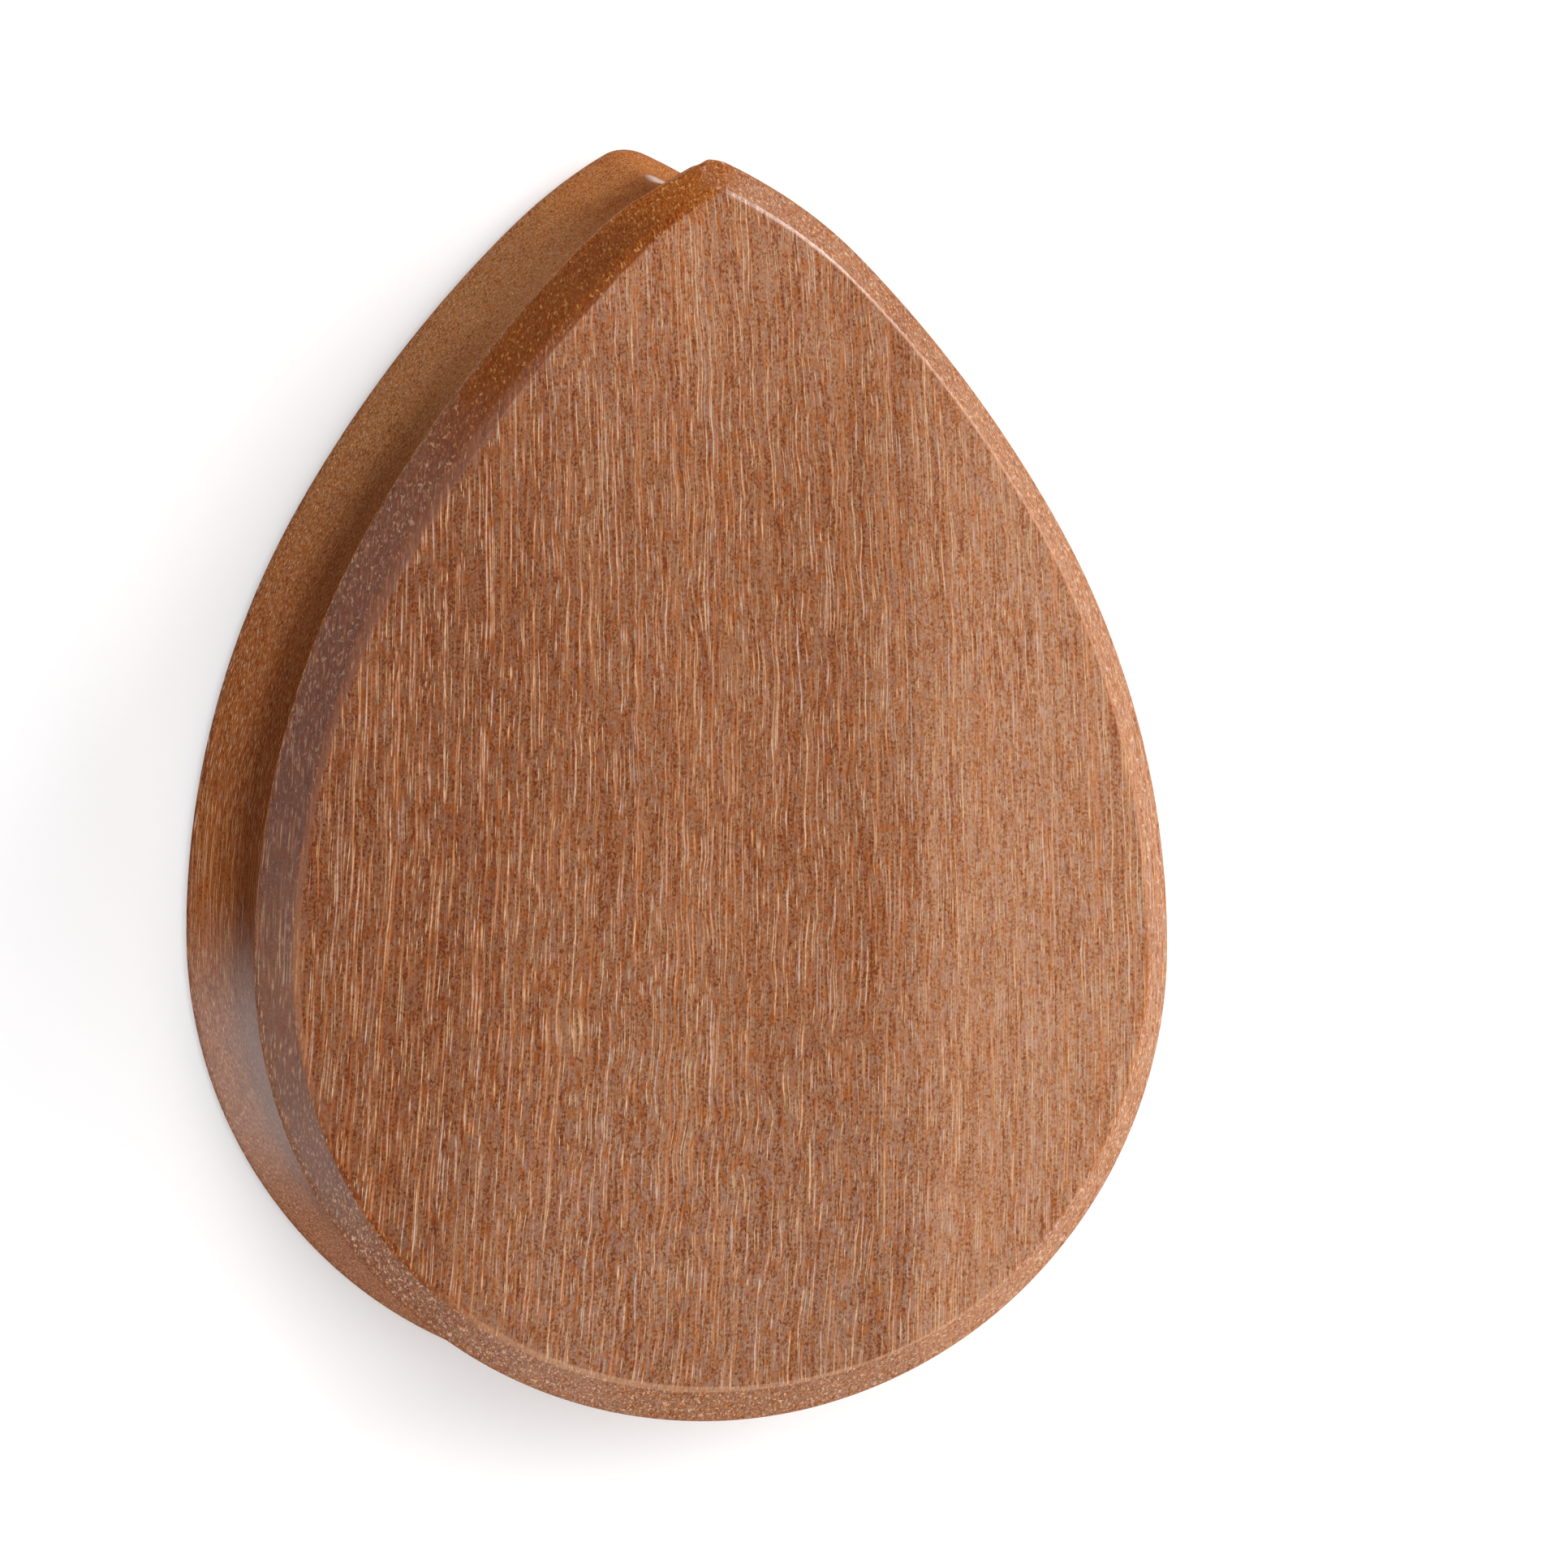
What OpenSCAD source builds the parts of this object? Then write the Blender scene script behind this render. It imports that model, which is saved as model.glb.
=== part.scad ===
// Ear plug: one solid piece of wood, a teardrop in outline, with a flared rim at each end,
// a bevel from each rim in to a flat face, and a waist that holds it in the lobe.
// It lies on its back face: the tip points along +Y and the front face looks up, along +Z.

/* [Outline] */
// Width across the rims
rim_w = 30.2; // [28:0.1:33]
// Height of the rims, from the round end to the tip
rim_h = 40.8; // [39:0.1:43]
// Radius of the tip
tip_r = 1.5; // [1.3:0.1:1.8]
// Radius of the shoulders on both sides of the tip
shoulder_r = 16; // [14:0.5:18]
// How far the outline has turned, in degrees, where the tip ends
tip_turn = 27; // [25:1:29]
// How far it has turned where the shoulders end
shoulder_turn = 45; // [43:1:47]
// How far it has turned where the straighter upper flanks end
flank_turn = 60; // [58:1:63]

/* [Section] */
// Distance between the crests of the two rims
rim_gap = 12; // [8:0.5:16]
// Depth of the waist below the rims
waist_depth = 1.1; // [0.7:0.05:1.15]
// Height of each bevel, from the rim's crest to the face
bevel_h = 1.0; // [0.6:0.05:1.6]
// Width of each bevel, seen from the front
bevel_w = 1.05; // [0.8:0.05:1.25]
// Radius that softens the crest of each rim
rim_round = 0.25; // [0.1:0.05:0.3]
// Radius that softens the edge of each face
face_round = 0.45; // [0.1:0.05:0.6]

/* [Hidden] */
$fn = 180;

length = rim_gap + 2 * bevel_h;
face_v = length / 2;
crest_v = rim_gap / 2;
band_depth = 3;   // how far the swept bands reach in from the outline
core_inset = 2;   // how far the core stays in from the outline
round_steps = 5;  // straight steps in each small rounding

// The side and flank radii follow from the width, the height and the turns, so that the
// outline is tangent all the way round and is widest where the round end begins.
half_w = rim_w / 2;
across = half_w - tip_r * sin(tip_turn) - shoulder_r * (sin(shoulder_turn) - sin(tip_turn));
along = rim_h - half_w - tip_r * (1 - cos(tip_turn))
    - shoulder_r * (cos(tip_turn) - cos(shoulder_turn));
flank_x = sin(flank_turn) - sin(shoulder_turn);
flank_y = cos(shoulder_turn) - cos(flank_turn);
side_x = 1 - sin(flank_turn);
side_y = cos(flank_turn);
det = flank_x * side_y - side_x * flank_y;
flank_r = (across * side_y - along * side_x) / det;
side_r = (along * flank_x - across * flank_y) / det;

// The arcs of the right half, from the tip round to the middle of the round end.
// A turn is measured clockwise from +Y, the way the outline faces at the tip.
RADIUS = 0;
FROM = 1;
TO = 2;
arcs = [
    // radius, turn at its start, turn at its end
    [tip_r, 0, tip_turn],
    [shoulder_r, tip_turn, shoulder_turn],
    [flank_r, shoulder_turn, flank_turn],
    [side_r, flank_turn, 90],
    [half_w, 90, 180],
];

function facing(turn) = [sin(turn), cos(turn)];

// Each arc's centre is in line with the one before it and with the point where they meet.
function centre(i) = i == 0
    ? [0, rim_h / 2 - tip_r]
    : centre(i - 1) + (arcs[i - 1][RADIUS] - arcs[i][RADIUS]) * facing(arcs[i][FROM]);

// The section is drawn in u, outward from the rims' crests, and v, up from the middle.
crest = [-rim_round, crest_v];
waist_r = (pow(rim_round - waist_depth, 2) + pow(crest_v, 2) - pow(rim_round, 2))
    / (2 * waist_depth);
waist_centre = [waist_r - waist_depth, 0];
face_edge = [-bevel_w, face_v];
to_crest = crest - face_edge;
bevel_dip = atan2(-to_crest[1], to_crest[0]) - asin(rim_round / norm(to_crest));
face_cut = face_round * tan(bevel_dip / 2);
waist_lean = atan2(crest_v, waist_centre[0] + rim_round);

function on_circle(c, r, a) = c + r * [cos(a), sin(a)];
function rounding(c, r, a0, a1) =
    [for (k = [0 : round_steps]) on_circle(c, r, a0 + (a1 - a0) * k / round_steps)];

// Upper half of the section's edge, from the face down to where the waist begins.
upper_edge = concat(
    rounding(face_edge - [face_cut, face_round], face_round, 90, 90 - bevel_dip),
    rounding(crest, rim_round, 90 - bevel_dip, -waist_lean)
);

function flipped(points) = [for (k = [len(points) - 1 : -1 : 0]) [points[k][0], -points[k][1]]];

// Moves in hundredths of a millimetre first and then by the small rest. Each of the two moves
// is short enough to keep all its digits, so that neighbouring arcs meet exactly.
module shift(v) {
    coarse = [for (x = v) round(100 * x) / 100];
    translate(coarse)
        translate(v - coarse)
            children();
}

// Section of the plug under an arc of this radius, with the arc's axis at x = 0.
module section(radius) {
    inner = -min(radius, band_depth);
    shift([radius, 0])
        difference() {
            polygon(concat([[inner, face_v]], upper_edge, flipped(upper_edge), [[inner, -face_v]]));
            translate(waist_centre)
                circle(r = waist_r);
        }
}

// The stretch of the plug under one arc of the outline.
module band(i) {
    shift(centre(i))
        rotate_extrude(angle = arcs[i][TO] - arcs[i][FROM], start = 90 - arcs[i][TO])
            section(arcs[i][RADIUS]);
}

function inside_point(i, turn) = centre(i) + (arcs[i][RADIUS] - core_inset) * facing(turn);

// What the bands leave open in the middle.
module core() {
    right = [
        for (i = [1 : len(arcs) - 1], k = [1 : 4])
            inside_point(i, arcs[i][FROM] + (arcs[i][TO] - arcs[i][FROM]) * k / 4)
    ];
    left = [for (k = [len(right) - 2 : -1 : 0]) [-right[k][0], right[k][1]]];
    linear_extrude(height = length, center = true)
        polygon(concat(right, left));
}

module plug() {
    color([0.55, 0.31, 0.2])
        translate([0, 0, length / 2])
            union() {
                core();
                for (i = [0 : len(arcs) - 1]) {
                    band(i);
                    mirror([1, 0, 0])
                        band(i);
                }
            }
}

plug();
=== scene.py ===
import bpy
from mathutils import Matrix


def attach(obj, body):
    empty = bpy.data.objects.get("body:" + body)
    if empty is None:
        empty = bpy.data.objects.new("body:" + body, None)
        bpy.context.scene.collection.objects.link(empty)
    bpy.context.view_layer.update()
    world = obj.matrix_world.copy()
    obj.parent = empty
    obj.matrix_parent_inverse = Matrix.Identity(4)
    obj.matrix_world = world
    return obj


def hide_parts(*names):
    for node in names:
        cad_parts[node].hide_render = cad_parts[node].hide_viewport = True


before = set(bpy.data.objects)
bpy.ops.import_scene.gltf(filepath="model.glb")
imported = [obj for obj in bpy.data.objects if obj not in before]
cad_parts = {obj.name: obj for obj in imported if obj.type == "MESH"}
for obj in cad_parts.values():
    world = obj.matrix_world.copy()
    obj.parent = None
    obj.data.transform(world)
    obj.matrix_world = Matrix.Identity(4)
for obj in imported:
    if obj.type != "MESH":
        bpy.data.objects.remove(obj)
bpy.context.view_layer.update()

import math

import bpy
from bpy.props import FloatProperty, FloatVectorProperty, PointerProperty
from mathutils import Matrix, Vector, noise

bl_info = {
    "name": "Wooden ear plug",
    "version": (1, 0, 0),
    "blender": (4, 5, 0),
    "location": "View3D > Sidebar > Ear plug",
    "description": "Builds a teardrop ear plug of streaked reddish-brown wood, on its back face",
    "category": "Add Mesh",
}

MM = 0.001
MIDDLE = 7.0  # height of the plug's middle above the floor, in millimetres


# Sizes and colours

def millimetres(name, description, value, high=1000.0):
    """A length property, given in millimetres and kept in metres."""
    return FloatProperty(name=name, description=description, default=value * MM, min=0.0,
                         max=high * MM, unit="LENGTH", subtype="DISTANCE", precision=5)


def degrees(name, description, value):
    """An angle property, given in degrees and kept in radians."""
    return FloatProperty(name=name, description=description, default=math.radians(value),
                         unit="ROTATION", subtype="ANGLE")


def fraction(name, description, value):
    return FloatProperty(name=name, description=description, default=value, min=0.0, max=1.0,
                         subtype="FACTOR")


def colour(name, description, value):
    return FloatVectorProperty(name=name, description=description, default=value, size=3,
                               min=0.0, max=1.0, subtype="COLOR")


class PlugSizes(bpy.types.PropertyGroup):
    """Sizes of the plug."""
    rim_width: millimetres("Rim width", "Width across the rims", 30.2)
    rim_height: millimetres("Rim height", "From the round end to the tip", 40.8)
    tip_radius: millimetres("Tip radius", "Radius of the tip", 1.5)
    shoulder_radius: millimetres("Shoulder radius", "Radius on both sides of the tip", 16)
    tip_turn: degrees("Tip turn", "How far the outline has turned where the tip ends", 27)
    shoulder_turn: degrees("Shoulder turn", "Turn where the shoulders end", 45)
    flank_turn: degrees("Flank turn", "Turn where the straighter flanks end", 60)
    rim_gap: millimetres("Rim gap", "Distance between the crests of the rims", 12)
    waist_depth: millimetres("Waist depth", "Depth of the waist below the rims", 1.1)
    bevel_height: millimetres("Bevel height", "From a rim's crest to the face", 1.0)
    rim_round: millimetres("Rim rounding", "Radius that softens the rims", 0.25)
    face_round: millimetres("Face rounding", "Radius that softens the face edges", 0.45)
    face_round_right: millimetres("Face rounding, right", "Radius where it is crisper", 0.2)
    face_round_upper_left: millimetres("Face rounding, upper left",
                                       "Radius where it is softest", 0.9)
    tip_lean: millimetres("Tip lean", "How far the front rim's tip leans to the left", 0.2)
    tip_lean_back: millimetres("Tip lean, back", "The same for the back rim's tip", 0.36)
    tip_flat_depth: millimetres("Tip flat, depth", "What the flat left of the tip takes off", 0.094)
    tip_flat_turn: degrees("Tip flat, turn", "How far that flat leans from the top", 28.6)
    bevel_tip: millimetres("Bevel at the tip", "Width of the bevel at the tip", 0.98)
    bevel_upper_right: millimetres("Bevel, upper right", "Width of the bevel there", 0.78)
    bevel_right: millimetres("Bevel, right", "Width of the bevel there", 0.9)
    bevel_lower_right: millimetres("Bevel, lower right", "Width of the bevel there", 0.86)
    bevel_bottom: millimetres("Bevel, bottom", "Width of the bevel at the round end", 1.15)
    bevel_lower_left: millimetres("Bevel, lower left", "Width of the bevel there", 0.98)
    bevel_left: millimetres("Bevel, left", "Width of the bevel there", 1.2)
    bevel_upper_left: millimetres("Bevel, upper left", "Width of the bevel there", 1.32)
    hand_waver: millimetres("Waver", "How unevenly the hand sanding runs", 0.02)


class WoodLook(bpy.types.PropertyGroup):
    """Colours and finish of the wood."""
    base_dark: colour("Fibres, dark", "Darkest fibres, untinted", (0.222, 0.053, 0.0125))
    base_light: colour("Fibres, light", "Lightest fibres, untinted", (0.485, 0.268, 0.157))
    fringe: colour("Orange fibres", "Orange fibres, and the streaks' fringe", (0.44, 0.135, 0.030))
    cool: colour("Cool fibres", "Greyish fibres", (0.425, 0.26, 0.20))
    fleck: colour("Flecks", "Dark flecks between the fibres", (0.15, 0.032, 0.007))
    tint_left: colour("Tint, left", "Tint at the left", (0.44, 0.34, 0.27))
    tint_middle: colour("Tint, middle", "Tint in the middle", (0.564, 0.482, 0.41))
    tint_right: colour("Tint, right", "Tint of the light band at the right", (0.85, 0.85, 0.83))
    streak: colour("Streaks", "Filled pores", (0.585, 0.395, 0.245))
    streak_cool: colour("Cool streaks", "The paler, bluish pores", (0.48, 0.38, 0.34))
    end_grain: colour("End grain", "Colour where the pores are cut across", (0.20, 0.055, 0.010))
    tint_tip: colour("Tint, tip", "Tint at the tip", (0.725, 0.68, 0.64))
    tint_round: colour("Tint, round end", "Tint towards the round end", (0.605, 0.595, 0.605))
    # Painted shade with a cool painted reflection on the left bevel.
    left_bevel_shade: colour("Left bevel", "Cooler colour of the left bevel", (0.152, 0.096, 0.082))
    # Partly the wood's orange, partly painted shade on the bevel by the tip.
    orange_shaded_tint: colour("Orange tint", "Tint of the bevel left of the tip", (0.88, 0.60, 0.26))
    # Painted shade: darkens the upper left bevel.
    shoulder_shade_tint: colour("Shoulder tint", "Tint of the upper left bevel", (0.63, 0.60, 0.70))
    bevel_dots: colour("Bevel dots", "Light dots of cut fibre in the bevels", (0.72, 0.50, 0.33))
    golden_dots: colour("Golden dots", "The same where the bevel is orange", (0.72, 0.38, 0.11))
    # Painted highlight on the edge of the face.
    painted_highlight_edge: colour("Edge highlight", "Edge of the face at the round end", (0.57, 0.32, 0.19))
    waist_low: colour("Waist tint, low", "Tint of the waist low down", (0.60, 0.39, 0.185))
    waist_high: colour("Waist tint, high", "Tint of the waist near the tip", (0.67, 0.60, 0.41))
    waist_tip: colour("Waist tint, tip", "Tint of the waist right at the tip", (0.88, 0.69, 0.35))
    # Painted shade in the waist's deepest part.
    hollow_shade_tint: colour("Hollow tint", "Tint of the waist's deepest part", (0.465, 0.375, 0.25))
    # Painted shade: a warmer, deeper edge of the face, where it also has less coat.
    rubbed_and_shaded_tint: colour("Edge shade tint", "Tint of the rubbed edge of the face", (1.0, 0.78, 0.54))
    roughness: fraction("Roughness", "Roughness of the wood under its polish", 0.36)


class StageLook(bpy.types.PropertyGroup):
    """Floor, light and camera."""
    floor_colour: colour("Floor", "Pale floor", (0.96, 0.96, 0.96))
    room_colour: colour("Room", "Colour of the soft light all round", (0.96, 0.98, 1.0))
    floor_size: millimetres("Floor size", "Side of the square floor", 8000, high=20000)
    room_light: FloatProperty(name="Room light", description="Strength of the soft light all round",
                              default=0.06, min=0.0, max=4.0)
    camera_turn: degrees("Camera turn", "Turn about the tip's direction, to the left", 13.0)
    camera_rise: degrees("Camera rise", "Rise towards the tip", 4.31)
    camera_distance: millimetres("Camera distance", "From the plug's middle", 426.8, high=2000)
    camera_slide: FloatVectorProperty(name="Camera slide", description="Sideways and upward shift",
                                      default=(3.545 * MM, 5.844 * MM), size=2, unit="LENGTH")
    sensor_width: FloatProperty(name="Sensor width", description="In millimetres",
                                default=36.0, min=1.0, max=100.0, unit="CAMERA")
    lens: FloatProperty(name="Focal length", description="In millimetres on the sensor",
                        default=299.6, min=10.0, max=1000.0, unit="CAMERA")


# Shader expressions

class Value:
    """A shader socket that works in Python expressions: each operator adds a Math node."""

    def __init__(self, shader, socket):
        self.shader = shader
        self.socket = socket

    def maths(self, operation, *terms):
        values = dict(enumerate(terms))
        return self.shader.node("ShaderNodeMath", {"operation": operation}, values)[0]

    def __add__(self, other):
        return self.maths("ADD", self, other)

    def __sub__(self, other):
        return self.maths("SUBTRACT", self, other)

    def __mul__(self, other):
        return self.maths("MULTIPLY", self, other)

    def __truediv__(self, other):
        return self.maths("DIVIDE", self, other)

    def __pow__(self, other):
        return self.maths("POWER", self, other)

    def __radd__(self, other):
        return self.maths("ADD", other, self)

    def __rsub__(self, other):
        return self.maths("SUBTRACT", other, self)

    def __rmul__(self, other):
        return self.maths("MULTIPLY", other, self)

    def size(self):
        return self.maths("ABSOLUTE", self)


class Outputs:
    """A node's output sockets, by number or by name."""

    def __init__(self, shader, node):
        self.shader = shader
        self.sockets = node.outputs

    def __getitem__(self, key):
        return Value(self.shader, self.sockets[key])


class Shader:
    """Adds nodes to one material's tree."""

    def __init__(self, tree):
        self.tree = tree
        tree.nodes.clear()

    def node(self, kind, settings=None, values=None):
        """Adds a node, sets its settings, and then sets or links its input sockets."""
        node = self.tree.nodes.new(kind)
        for name, setting in (settings or {}).items():
            setattr(node, name, setting)
        for key, value in (values or {}).items():
            if isinstance(value, Value):
                self.tree.links.new(value.socket, node.inputs[key])
            else:
                node.inputs[key].default_value = value
        return Outputs(self, node)

    def mix(self, factor, a, b, blend="MIX"):
        """Colour a, going over to colour b."""
        return self.node("ShaderNodeMix", {"data_type": "RGBA", "blend_type": blend},
                         {0: factor, 6: opaque(a), 7: opaque(b)})[2]

    def vector(self, operation, *terms):
        values = dict(enumerate(terms))
        return self.node("ShaderNodeVectorMath", {"operation": operation}, values)[0]

    def combine(self, x, y, z):
        return self.node("ShaderNodeCombineXYZ", None, {0: x, 1: y, 2: z})[0]

    def separate(self, vector):
        parts = self.node("ShaderNodeSeparateXYZ", None, {0: vector})
        return parts[0], parts[1], parts[2]

    def ramp(self, value, low, high, smooth=True):
        """0 where value is low and 1 where it is high."""
        return self.node("ShaderNodeMapRange",
                         {"interpolation_type": "SMOOTHSTEP" if smooth else "LINEAR"},
                         {0: value, 1: low, 2: high, 3: 0.0, 4: 1.0})[0]

    def noise(self, place, detail, rough=0.5):
        """Noise at this place, with one unit to a lump."""
        return self.node("ShaderNodeTexNoise", {"noise_dimensions": "3D"},
                         {"Vector": place, "Scale": 1.0, "Detail": detail, "Roughness": rough})


def opaque(value):
    """A plain colour gets its alpha. A socket passes as it is."""
    return value if isinstance(value, Value) else (*tuple(value)[:3], 1.0)


# The plug's shape

ARC_STEPS = (14, 18, 34, 44, 64)  # tip, shoulder, flank, side, round end
FACE_EDGE_STEPS, CREST_STEPS, WAIST_STEPS = 7, 9, 14
BEVEL_SHARES = (0.06, 0.28, 0.5, 0.72, 0.94)  # points down the bevel
FACE_COLUMNS = 10  # strips across a flat face
FACE_RING_SHARES = (0.012, 0.045)  # rings just inside the face's edge
FACE_MIDDLE = -0.1  # place that those rings shrink towards, as a share of the rim height
LEAN_START, LEAN_LENGTH = 0.42, 0.08  # the tip's lean, as shares of the rim height
SANDING_LUMP = 5.5 * MM  # from one low place of the sanding to the next
LEAST_SANDING = 0.2  # share of the waver that is taken off everywhere
RESTING = 0.001 * MM  # points below this height lie on the floor


def outline_arcs(sizes):
    """Arcs of the right half, from the tip to the middle of the round end: centre, radius, turn at
    the start, turn at the end, and steps. The side and flank radii follow from the rest."""
    half = sizes.rim_width / 2
    tip, shoulder = sizes.tip_radius, sizes.shoulder_radius
    a, b, c = sizes.tip_turn, sizes.shoulder_turn, sizes.flank_turn
    across = half - tip * math.sin(a) - shoulder * (math.sin(b) - math.sin(a))
    along = (sizes.rim_height - half - tip * (1 - math.cos(a))
             - shoulder * (math.cos(a) - math.cos(b)))
    flank_x, flank_y = math.sin(c) - math.sin(b), math.cos(b) - math.cos(c)
    side_x, side_y = 1 - math.sin(c), math.cos(c)
    det = flank_x * side_y - side_x * flank_y
    flank = (across * side_y - along * side_x) / det
    side = (along * flank_x - across * flank_y) / det
    rows = [(tip, 0.0, a), (shoulder, a, b), (flank, b, c), (side, c, math.pi / 2),
            (half, math.pi / 2, math.pi)]
    arcs, centre, before = [], Vector((0.0, sizes.rim_height / 2 - tip)), tip
    for (radius, start, end), steps in zip(rows, ARC_STEPS):
        centre = centre + (before - radius) * Vector((math.sin(start), math.cos(start)))
        arcs.append((centre.copy(), radius, start, end, steps))
        before = radius
    return arcs


def outline_stations(sizes):
    """Round the outline, clockwise from the tip: arc centre, radius, outward direction, turn."""
    arcs = outline_arcs(sizes)
    right = []
    for centre, radius, start, end, steps in arcs:
        for k in range(steps):
            turn = start + (end - start) * k / steps
            right.append((centre, radius, turn))
    last = (arcs[-1][0], sizes.rim_width / 2, math.pi)
    left = [(Vector((-c.x, c.y)), r, 2 * math.pi - t) for c, r, t in reversed(right[1:])]
    return [(c, r, Vector((math.sin(t), math.cos(t))), t) for c, r, t in right + [last] + left]


def round_table(rows, turn):
    """Smooth value at this turn, from rows of (turn, value) that go all the way round."""
    full = 2 * math.pi
    for k, (here, value) in enumerate(rows):
        after, next_value = rows[(k + 1) % len(rows)]
        after += full if after <= here else 0.0
        if here <= turn < after:
            share = (turn - here) / (after - here)
            share = share * share * (3 - 2 * share)
            return value + (next_value - value) * share
    raise ValueError("the turn is outside the table")


def bevel_width(sizes, turn):
    """Width of the hand-cut bevel at this turn of the outline."""
    tip = math.degrees(sizes.tip_turn)
    rows = [(0, sizes.bevel_tip), (tip, sizes.bevel_tip), (52, sizes.bevel_upper_right),
            (85, sizes.bevel_right), (135, sizes.bevel_lower_right), (180, sizes.bevel_bottom),
            (225, sizes.bevel_lower_left), (270, sizes.bevel_left), (308, sizes.bevel_upper_left),
            (360 - tip, sizes.bevel_tip)]
    return round_table([(math.radians(at), width) for at, width in rows], turn)


def face_rounding(sizes, turn):
    """Radius of the face's edge at this turn. It changes little round the tip, where the rings
    are tightest."""
    soft, crisp, softest = sizes.face_round, sizes.face_round_right, sizes.face_round_upper_left
    tip, half_way = math.degrees(sizes.tip_turn), (soft + crisp) / 2
    rows = [(0, half_way), (tip, half_way), (48, crisp), (150, crisp), (195, soft), (283, soft),
            (303, softest), (318, softest), (360 - tip, soft)]
    return round_table([(math.radians(at), radius) for at, radius in rows], turn)


def upper_section(sizes, bevel, face_round):
    """The section's upper half in (u, v) from the face edge down to the middle of the waist."""
    face_v = sizes.rim_gap / 2 + sizes.bevel_height
    crest = Vector((-sizes.rim_round, sizes.rim_gap / 2))
    face_edge = Vector((-bevel, face_v))
    gap = crest - face_edge
    dip = math.atan2(-gap.y, gap.x) - math.asin(sizes.rim_round / gap.length)
    cut = face_round * math.tan(dip / 2)
    depth = sizes.waist_depth
    waist_r = ((sizes.rim_round - depth) ** 2 + crest.y ** 2 - sizes.rim_round ** 2) / (2 * depth)
    waist_x = waist_r - depth
    lean = math.atan2(crest.y, waist_x + sizes.rim_round)
    points = []

    def sweep(centre, radius, start, end, steps):
        for k in range(steps + 1):
            at = start + (end - start) * k / steps
            points.append(Vector((centre.x + radius * math.cos(at),
                                  centre.y + radius * math.sin(at))))

    upright = math.pi / 2
    square = upright - dip  # the way the bevel faces
    sweep(face_edge - Vector((cut, face_round)), face_round, upright, square, FACE_EDGE_STEPS)
    inner = points[-1].copy()
    outer = crest + sizes.rim_round * Vector((math.cos(square), math.sin(square)))
    points.extend(inner.lerp(outer, share) for share in BEVEL_SHARES)
    sweep(crest, sizes.rim_round, square, -lean, CREST_STEPS)
    for k in range(1, WAIST_STEPS + 1):
        # From the crest's underside to the deepest point, along the waist's circle.
        at = lean * (1 - k / WAIST_STEPS)
        points.append(Vector((waist_x - waist_r * math.cos(at), waist_r * math.sin(at))))
    return points


def face_ladder(points, faces, ring, upward):
    """Fills a flat face with rungs across it. The ring holds its points' numbers, clockwise from
    the tip."""
    columns = FACE_COLUMNS
    half = len(ring) // 2
    before = [ring[0]] * (columns + 1)
    for k in range(1, half + 1):
        right, left = ring[k], ring[-k]
        if right == left:
            rung = [right] * (columns + 1)
        else:
            first, start, end = len(points), points[right], points[left]
            points.extend([start.lerp(end, j / columns) for j in range(1, columns)])
            rung = [right, *range(first, first + columns - 1), left]
        for j in range(columns):
            corners = [before[j], rung[j], rung[j + 1], before[j + 1]]
            corners = [c for i, c in enumerate(corners) if c not in corners[:i]]
            faces.append(corners[::-1] if upward else corners)
        before = rung


def plug_mesh(sizes):
    """Rings of points round the plug from the front face to the back face, and both flat faces."""
    stations = outline_stations(sizes)
    middle = sizes.rim_gap / 2 + sizes.bevel_height
    flat = Vector((-math.sin(sizes.tip_flat_turn), math.cos(sizes.tip_flat_turn)))
    flat_at = (flat.y * (sizes.rim_height / 2 - sizes.tip_radius) + sizes.tip_radius
               - sizes.tip_flat_depth)
    columns = []
    for centre, radius, outward, turn in stations:
        upper = upper_section(sizes, bevel_width(sizes, turn), face_rounding(sizes, turn))
        lower = [Vector((p.x, -p.y)) for p in reversed(upper[:-1])]
        column = []
        for p in upper + lower:
            plan = centre + (radius + p.x) * outward
            in_front, on_bevel = p.y > 0, abs(p.y) > sizes.rim_gap / 2
            lean = sizes.tip_lean if in_front else sizes.tip_lean_back
            near_rim = min(1.0, max(0.0, 1 + p.x / sizes.bevel_tip)) if on_bevel else 1.0
            near_tip = max(0.0, (plan.y - LEAN_START * sizes.rim_height)
                           / (LEAN_LENGTH * sizes.rim_height))
            plan.x -= lean * near_rim * near_tip ** 2
            if in_front:
                plan = plan - max(0.0, flat.dot(plan) - flat_at) * flat
            column.append(Vector((plan.x, plan.y, p.y + middle)))
        columns.append(column)
    rings = [[column[k] for column in columns] for k in range(len(columns[0]))]

    def pulled_in(ring, share):
        target = Vector((0.0, FACE_MIDDLE * sizes.rim_height, ring[0].z))
        return [p.lerp(target, share) for p in ring]

    rings = ([pulled_in(rings[0], share) for share in reversed(FACE_RING_SHARES)] + rings
             + [pulled_in(rings[-1], share) for share in FACE_RING_SHARES])
    across = len(stations)
    points = [p for ring in rings for p in ring]
    faces = []
    for k in range(len(rings) - 1):
        for j in range(across):
            a, b = k * across + j, k * across + (j + 1) % across
            faces.append((a, b, b + across, a + across))
    last = (len(rings) - 1) * across
    face_ladder(points, faces, list(range(across)), upward=True)
    face_ladder(points, faces, list(range(last, last + across)), upward=False)
    return points, faces


def sand_by_hand(mesh, sizes):
    """Takes a hair of wood away, unevenly, everywhere but on the flat back face."""
    moved = []
    for vertex in mesh.vertices:
        lump = noise.noise(vertex.co / SANDING_LUMP) * 0.5 + 0.5
        share = LEAST_SANDING + (1 - LEAST_SANDING) * lump
        depth = 0.0 if vertex.co.z < RESTING else share * sizes.hand_waver
        moved.append(vertex.co - vertex.normal * depth)
    for vertex, place in zip(mesh.vertices, moved):
        vertex.co = place


# The wood, with its places in millimetres

CREST = 6.0  # from the plug's middle to a rim's crest
NOTCH = 4.3  # height of the polished spot in the notch behind the tip


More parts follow.
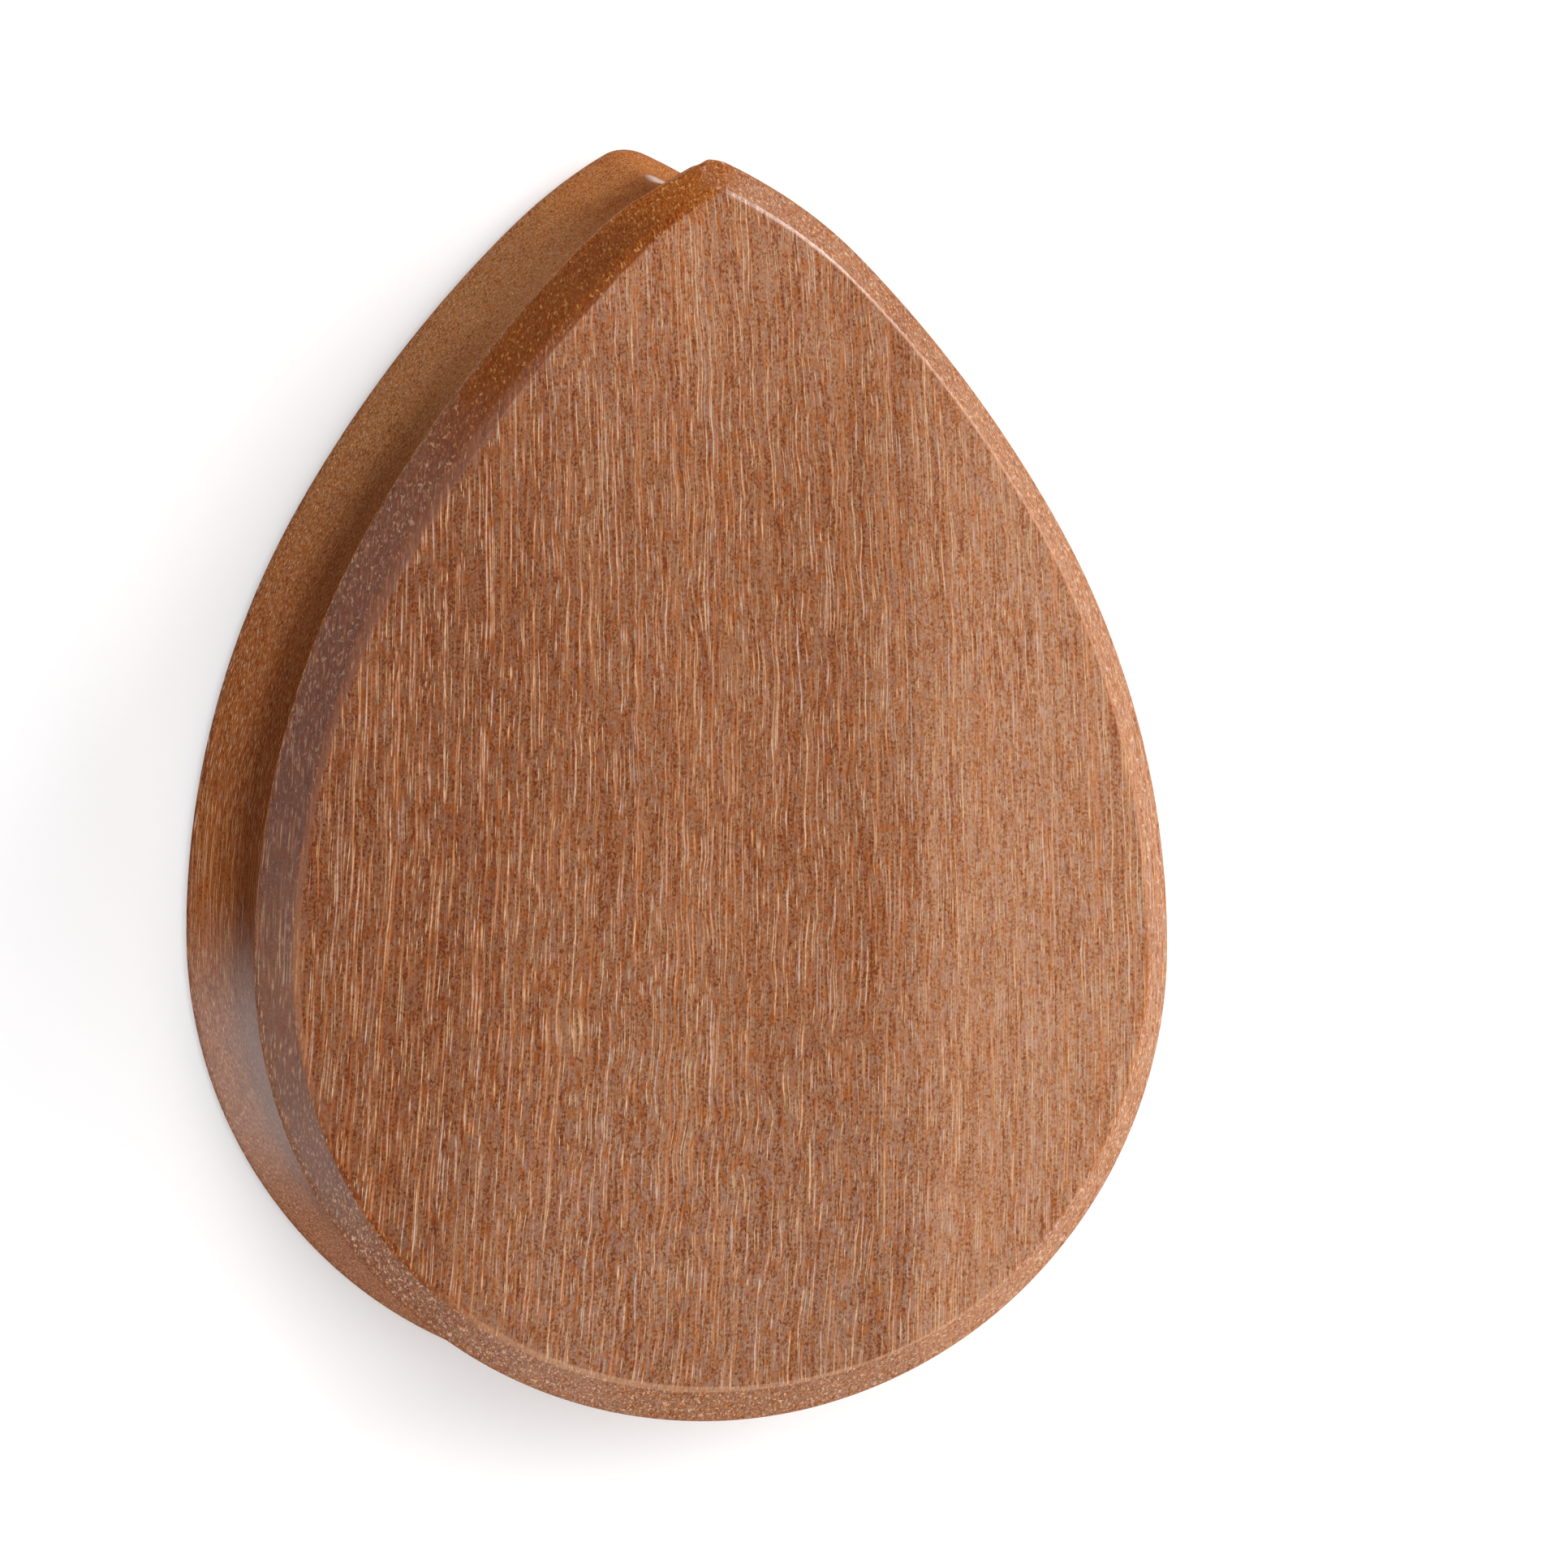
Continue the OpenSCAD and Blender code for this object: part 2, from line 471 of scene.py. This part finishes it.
def streaks(shader, place, cell, radius, sway, seed):
    """Pores along the grain: (distance from a pore's axis in radii, three numbers for the pore).

    They sway a little sideways, and more in depth, so that each one comes to the surface and
    goes again."""
    x, _, z = shader.separate(place)
    stretched = shader.vector("MULTIPLY_ADD", place, (0.9, 0.25, 0.9), (seed, seed * 1.7, 3.1))
    dx, _, dz = shader.separate(shader.noise(stretched, detail=1.0)["Color"])
    flat = shader.combine((x + dx * sway) / cell + seed, (z + dz * sway * 1.7) / cell + seed, 0.0)
    cells = shader.node("ShaderNodeTexVoronoi", {"voronoi_dimensions": "2D", "feature": "F1"},
                        {"Vector": flat, "Scale": 1.0, "Randomness": 1.0})
    return cells["Distance"] * (cell / radius), shader.separate(cells["Color"])


def make_wood(look):
    """Streaked wood: tints, fibres, pores, and the colour and polish of edges, bevels and waist."""
    material = bpy.data.materials.new("streaked_wood")
    material.use_nodes = True
    shader = Shader(material.node_tree)
    coordinates = shader.node("ShaderNodeTexCoord")
    place = shader.vector("MULTIPLY", coordinates["Object"], (1 / MM, 1 / MM, 1 / MM))
    x, y, z = shader.separate(place)
    normal_x, normal_y, normal_z = shader.separate(coordinates["Normal"])
    from_middle = (z - MIDDLE).size()
    beyond_crest = shader.ramp(from_middle, CREST, CREST + 0.3)
    level = normal_z.size()  # 1 on the flat faces, 0 on the sides

    # The grain runs along y and bows a little: it leans right low on the left, and left high on
    # the right. In the middle it ripples as well.
    ripple = shader.noise(shader.vector("MULTIPLY", place, (0.4, 0.55, 0.4)), 1.0)["Fac"]
    ripple = (ripple - 0.5) * (0.08 + 0.22 * shader.ramp(x.size(), 8.0, 3.0))
    grain_x = x + y * (x * 0.0035 + y * 0.00175 - 0.0052) + ripple
    grain = shader.combine(grain_x, y, z)

    def grain_noise(across, along, detail, rough=0.5, output="Fac"):
        """Noise with so many lumps to the millimetre across the grain and along it."""
        lumps = shader.vector("MULTIPLY", grain, (across, along, across))
        return shader.noise(lumps, detail, rough)[output]

    # Growth bands: the wood goes from deep heartwood on the left to a lighter band on the right.
    # The tip and the round end have tints of their own, and uneven borders.
    slow = grain_noise(0.26, 0.03, 2.0) - 0.5
    uneven = grain_noise(1.5, 0.09, 3.0, 0.6) - 0.5
    edge_of_band = grain_x + slow * 5.0 + uneven * 3.0
    tint = shader.mix(shader.ramp(edge_of_band, -9.5, -1.0), look.tint_left, look.tint_middle)
    round_end = shader.ramp(y + uneven * 4.0, -4.0, -16.0) * shader.ramp(x, -11.0, -4.0)
    tint = shader.mix(round_end, tint, look.tint_round)
    light_band = shader.ramp(edge_of_band, 4.6, 8.4)
    tint = shader.mix(light_band, tint, look.tint_right)
    tint = shader.mix(shader.ramp(y + uneven * 4.0, 9.0, 19.5), tint, look.tint_tip)

    # The waist has a tint of its own low down, and lighter ones towards the tip.
    waist = shader.ramp(from_middle, CREST + 0.1, CREST - 0.4)
    waist_tint = shader.mix(shader.ramp(y, 3.0, 12.0), look.waist_low, look.waist_high)
    waist_tint = shader.mix(shader.ramp(y, 17.2, 19.4), waist_tint, look.waist_tip)
    tint = shader.mix(waist, tint, waist_tint)

    # Fibres and the speckle between them, calmer in the light band and on the bevels. Some patches
    # are redder and some cooler, and dark flecks lie between them.
    lines = grain_noise(9.0, 0.32, 2.0, 0.65)
    fibre = grain_noise(12.0, 2.6, 1.0, 0.7)
    speckle = grain_noise(13.0, 9.0, 1.0, 0.9)
    tone = (lines - 0.5) * 0.5 + (fibre - 0.5) * 0.3 + (speckle - 0.5) + uneven * 0.3
    bevel = beyond_crest * shader.ramp(level, 0.9, 0.8)
    tone = tone * (1 - light_band * 0.3) * (1 - bevel * 0.35)
    lightness = shader.ramp(tone, -0.15, 0.15, smooth=False)
    wood = shader.mix(lightness, look.base_dark, look.base_light)
    red, cool, flecks = shader.separate(grain_noise(8.5, 2.2, 1.0, 0.6, "Color"))
    wood = shader.mix(shader.ramp(red, 0.5, 0.64) * (0.7 - light_band * 0.35), wood, look.fringe)
    wood = shader.mix(shader.ramp(cool, 0.5, 0.64) * 0.45, wood, look.cool)
    wood = shader.mix(1.0, wood, tint, "MULTIPLY")
    flecks = shader.ramp(flecks * 0.5 + lines * 0.5, 0.44, 0.33)
    wood = shader.mix(flecks * 0.55, wood, look.fleck)

    # Pores: light cores in a coarse and a fine layer, brighter here and there. The coarse ones
    # have an orange fringe, and some of them are cooler.
    beads = shader.ramp(grain_noise(6.0, 3.4, 2.0, 0.7), 0.36, 0.58)
    coarse, (coarse_light, fringe, coolness) = streaks(
        shader, grain, cell=0.155, radius=0.027, sway=0.36, seed=3.7)
    fine, (fine_light, _, _) = streaks(
        shader, grain, cell=0.088, radius=0.017, sway=0.3, seed=11.3)
    coarse_core = shader.ramp(coarse, 1.2, 0.4) * (beads * 0.65 + 0.35)
    fine_core = shader.ramp(fine, 1.3, 0.4) * (beads * 0.6 + 0.4)
    cool_pores = shader.ramp(coolness * 0.6 + cool * 0.8, 0.66, 0.8)
    streak = shader.mix(cool_pores, look.streak, look.streak_cool)
    wood = shader.mix(shader.ramp(coarse, 2.1, 1.0) * fringe * 0.5, wood, look.fringe)
    wood = shader.mix(fine_core * (fine_light * 0.8 + 0.1), wood, look.streak)
    wood = shader.mix(coarse_core * (coarse_light * 0.8 + 0.1), wood, streak)

    # End grain soaks up more finish and looks deeper. The deepest part of the waist is painted
    # darker as shade, less on the upper sides and on the right.
    wood = shader.mix(shader.ramp(normal_y.size(), 0.15, 0.75) * 0.18, wood, look.end_grain)
    right_side = shader.ramp(x, 0.0, 9.0)
    hollow_shade = (shader.ramp(from_middle + uneven * 1.6, 4.9, 1.4)
              * (1 - shader.ramp(y, 9.0, 17.0) * 0.85 + shader.ramp(y, 17.0, 19.0) * 0.7)
              * (1 - right_side * 0.45))
    wood = shader.mix(hollow_shade, wood, look.hollow_shade_tint, "MULTIPLY")

    # Which way the rounded edges and the bevels face, seen from the front.
    plan = (normal_x * normal_x + normal_y * normal_y) ** 0.5

    def facing(turn, spread, soft):
        """1 where the surface faces within so many degrees of this turn, clockwise from the tip,
        with a soft border this wide."""
        turn, inner, outer = map(math.radians, (turn, spread - soft / 2, spread + soft / 2))
        toward = (normal_x * math.sin(turn) + normal_y * math.cos(turn)) / plan
        return shader.ramp(toward, math.cos(outer), math.cos(inner))

    rim = beyond_crest * shader.ramp(plan, 0.05, 0.16)
    rounding = shader.ramp(level, 0.79, 0.86) * rim

    # The edge of the face is painted warmer and deeper on the left and the right, as shade where
    # the edge also gives less sheen. It is painted lighter, as a highlight, at the round end, above
    # the left side and on the upper right.
    rubbed_and_shaded = (facing(264, 56, 28) + facing(82, 34, 20)) * rounding
    wood = shader.mix(rubbed_and_shaded, wood, look.rubbed_and_shaded_tint, "MULTIPLY")
    # Painted highlight along the face's edge.
    painted_highlight = (facing(180, 38, 20) + facing(284, 30, 20) * 0.7 + facing(62, 26, 16)) * rounding
    wood = shader.mix(painted_highlight * 0.3, wood, look.painted_highlight_edge)

    # The bevel is painted cooler and darker on the left, as painted shade with a cool painted
    # reflection, and darker on the upper left as painted shade. Where it comes up to the tip it is
    # deeper and orange: partly the wood's colour, partly painted shade.
    shaded_left_bevel = facing(278, 40, 16) * rim * (1 - rounding * 0.9)
    wood = shader.mix(shaded_left_bevel * 0.5, wood, look.left_bevel_shade)
    upper_left = y * 0.82 - x * 0.57 + uneven * 3.0
    orange = (facing(339, 31, 20) * (rim * 0.7 + bevel * 0.7)
              + shader.ramp(upper_left, 15.0, 16.8) * 0.7 * beyond_crest)
    orange = shader.ramp(orange, 0.1, 0.9) * (1 - facing(354, 14, 20) * 0.4)
    # Partly the wood's own orange, partly painted shade.
    wood = shader.mix(orange, wood, look.orange_shaded_tint, "MULTIPLY")
    # Painted shade on the upper left bevel.
    wood = shader.mix(facing(299, 20, 24) * rim, wood, look.shoulder_shade_tint, "MULTIPLY")

    # Fine dots of light wood show where the bevels cut the fibres.
    dots = shader.ramp(grain_noise(8.0, 5.0, 1.0, 0.8), 0.60, 0.70)
    dots = dots * shader.ramp(orange + bevel, 0.2, 0.9) * (1 - shaded_left_bevel) * 0.42
    wood = shader.mix(dots, wood, shader.mix(orange, look.bevel_dots, look.golden_dots))

    # The faces and bevels are polished. The waist is only oiled, but for where fingers hold it.
    # The crisper edge of the face on the upper right shines. A polished spot in the notch behind
    # the tip mirrors the pale surroundings at a low angle.
    held = shader.ramp(y, -3.6, -8.8) * 0.6 - shader.ramp(y, -11.0, -15.0) * 0.42
    coat = (0.02 + shader.ramp(from_middle, CREST - 0.1, CREST + 0.5) * 0.09
            + waist * (held * (1 - right_side) + right_side * 0.12))
    crisp = ((facing(26, 16, 18) * 0.8 + facing(58, 24, 20) * 0.4) * (beads * 0.5 + 0.5)
             * shader.ramp(level, 0.72, 0.80) * rim)
    notch = (shader.ramp(y, 18.9, 19.3) * shader.ramp((z - NOTCH).size(), 0.9, 0.4)
             * shader.ramp(x, -0.35, 0.0))
    coat = coat * (1 - rubbed_and_shaded * 0.9) * (1 - orange * 0.9) + crisp * 0.8 + notch * 0.9
    pores = coarse_core * 0.7 + fine_core * 0.3
    bump = shader.node("ShaderNodeBump", None, {
        "Strength": 0.35,
        "Distance": 0.012 * MM,
        "Height": fibre * 0.6 + speckle * 0.4 - pores * 0.8,
    })
    principled = shader.node("ShaderNodeBsdfPrincipled", None, {
        "Base Color": wood,
        "Roughness": look.roughness + (fibre - 0.5) * 0.16 + pores * 0.15,
        "Normal": bump[0],
        "IOR": 1.5,
        "Specular IOR Level": 0.0,
        "Coat Weight": coat,
        "Coat Roughness": 0.25,
        "Coat IOR": 2.0,
    })
    shader.node("ShaderNodeOutputMaterial", None, {"Surface": principled[0]})
    return material


def make_floor_material(look):
    """Plain, pale and matt."""
    material = bpy.data.materials.new("pale_floor")
    material.use_nodes = True
    shader = Shader(material.node_tree)
    principled = shader.node("ShaderNodeBsdfPrincipled", None, {
        "Base Color": opaque(look.floor_colour), "Roughness": 0.8, "Specular IOR Level": 0.2})
    shader.node("ShaderNodeOutputMaterial", None, {"Surface": principled[0]})
    return material


# Operators, panel and registration

def link(name, data):
    """Puts a new object with this data into the scene."""
    thing = bpy.data.objects.new(name, data)
    bpy.context.scene.collection.objects.link(thing)
    return thing


class EARPLUG_OT_plug(bpy.types.Operator):
    """Make the wooden plug: front face, bevels, rims and waist in one piece"""
    bl_idname = "earplug.plug"
    bl_label = "Wooden plug"

    def execute(self, context):
        sizes, look = context.scene.plug_sizes, context.scene.wood_look
        points, faces = plug_mesh(sizes)
        mesh = bpy.data.meshes.new("wooden_plug")
        mesh.from_pydata([tuple(p) for p in points], [], faces)
        mesh.validate()
        mesh.update()
        sand_by_hand(mesh, sizes)
        mesh.shade_smooth()
        plug = link("wooden_plug", mesh)
        mesh.materials.append(make_wood(look))
        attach(plug, "root")
        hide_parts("plug")
        return {"FINISHED"}


SOFTBOX_DISTANCE = 0.8  # metres
SOFTBOXES = (
    # name, degrees round from +X and above the floor, width and height in metres, watts, colour
    ("right_low", -25, 12, 0.6, 0.4, 4.0, (1.0, 0.985, 0.97)),
    ("right_high", 36, 11, 0.42, 0.36, 2.9, (1.0, 0.985, 0.97)),
    ("right_upper", 32, 40, 0.5, 0.5, 3.0, (1.0, 0.985, 0.97)),
    ("overhead", 135, 72, 0.42, 0.42, 4.3, (1.0, 1.0, 1.0)),
    ("round_end_high", 258, 52, 0.36, 0.3, 1.2, (1.0, 1.0, 1.0)),
    ("round_end_right", 305, 14, 0.36, 0.36, 1.4, (1.0, 1.0, 1.0)),
    ("tip_side", 98, 14, 0.36, 0.36, 1.1, (1.0, 1.0, 1.0)),
    ("left_cool", 235, 15, 1.1, 0.3, 3.2, (0.86, 0.93, 1.0)),
)


def softbox(name, around, above, width, height, power, shade):
    """A soft rectangular light that looks at the plug's middle."""
    lamp = bpy.data.lights.new(name, "AREA")
    lamp.shape = "RECTANGLE"
    lamp.size, lamp.size_y = width, height
    lamp.energy = power
    lamp.color = shade
    thing = link(name, lamp)
    turn, rise = math.radians(around), math.radians(above)
    away = Vector((math.cos(rise) * math.cos(turn), math.cos(rise) * math.sin(turn),
                   math.sin(rise)))
    place = Vector((0.0, 0.0, MIDDLE * MM)) + SOFTBOX_DISTANCE * away
    turned = away.to_track_quat("Z", "Y").to_matrix().to_4x4()
    thing.matrix_world = Matrix.Translation(place) @ turned


CAMERA_AIM = (0.055, -6.03, MIDDLE)  # what the camera faces before it slides, in millimetres


class EARPLUG_OT_stage(bpy.types.Operator):
    """Make the pale floor, the soft lights and the camera"""
    bl_idname = "earplug.stage"
    bl_label = "Floor, lights and camera"

    def execute(self, context):
        look = context.scene.stage_look
        half = look.floor_size / 2
        mesh = bpy.data.meshes.new("floor")
        corners = [(-half, -half, 0), (half, -half, 0), (half, half, 0), (-half, half, 0)]
        mesh.from_pydata(corners, [], [(0, 1, 2, 3)])
        floor = link("floor", mesh)
        mesh.materials.append(make_floor_material(look))

        world = bpy.data.worlds.new("room")
        world.use_nodes = True
        sky = world.node_tree.nodes["Background"]
        sky.inputs["Color"].default_value = opaque(look.room_colour)
        sky.inputs["Strength"].default_value = look.room_light
        context.scene.world = world
        context.scene.view_settings.view_transform = "Standard"

        for row in SOFTBOXES:
            softbox(*row)

        camera = bpy.data.cameras.new("camera")
        camera.sensor_width = look.sensor_width
        camera.lens = look.lens
        camera.clip_start, camera.clip_end = 0.01, 50.0
        thing = link("camera", camera)
        turn, rise = look.camera_turn, look.camera_rise
        right = Vector((math.cos(turn), 0.0, math.sin(turn)))
        up = Vector((math.sin(turn) * math.sin(rise), math.cos(rise),
                     -math.cos(turn) * math.sin(rise)))
        back = right.cross(up)
        aim = Vector([at * MM for at in CAMERA_AIM])
        place = (aim + look.camera_slide[0] * right + look.camera_slide[1] * up
                 + look.camera_distance * back)
        turned = Matrix((right, up, back)).transposed().to_4x4()
        thing.matrix_world = Matrix.Translation(place) @ turned
        context.scene.camera = thing
        return {"FINISHED"}


class EARPLUG_PT_panel(bpy.types.Panel):
    """Lists the plug's operators"""
    bl_label = "Ear plug"
    bl_idname = "EARPLUG_PT_panel"
    bl_space_type = "VIEW_3D"
    bl_region_type = "UI"
    bl_category = "Ear plug"

    def draw(self, context):
        for operator in OPERATORS:
            self.layout.operator(operator.bl_idname)


GROUPS = {"plug_sizes": PlugSizes, "wood_look": WoodLook, "stage_look": StageLook}
OPERATORS = (EARPLUG_OT_plug, EARPLUG_OT_stage)


def register():
    for item in (*GROUPS.values(), *OPERATORS, EARPLUG_PT_panel):
        bpy.utils.register_class(item)
    for name, group in GROUPS.items():
        setattr(bpy.types.Scene, name, PointerProperty(type=group))


def unregister():
    for name in GROUPS:
        delattr(bpy.types.Scene, name)
    for item in (EARPLUG_PT_panel, *reversed(OPERATORS), *reversed(tuple(GROUPS.values()))):
        bpy.utils.unregister_class(item)


def main():
    register()
    bpy.ops.earplug.plug()
    bpy.ops.earplug.stage()


if __name__ == "__main__":
    main()
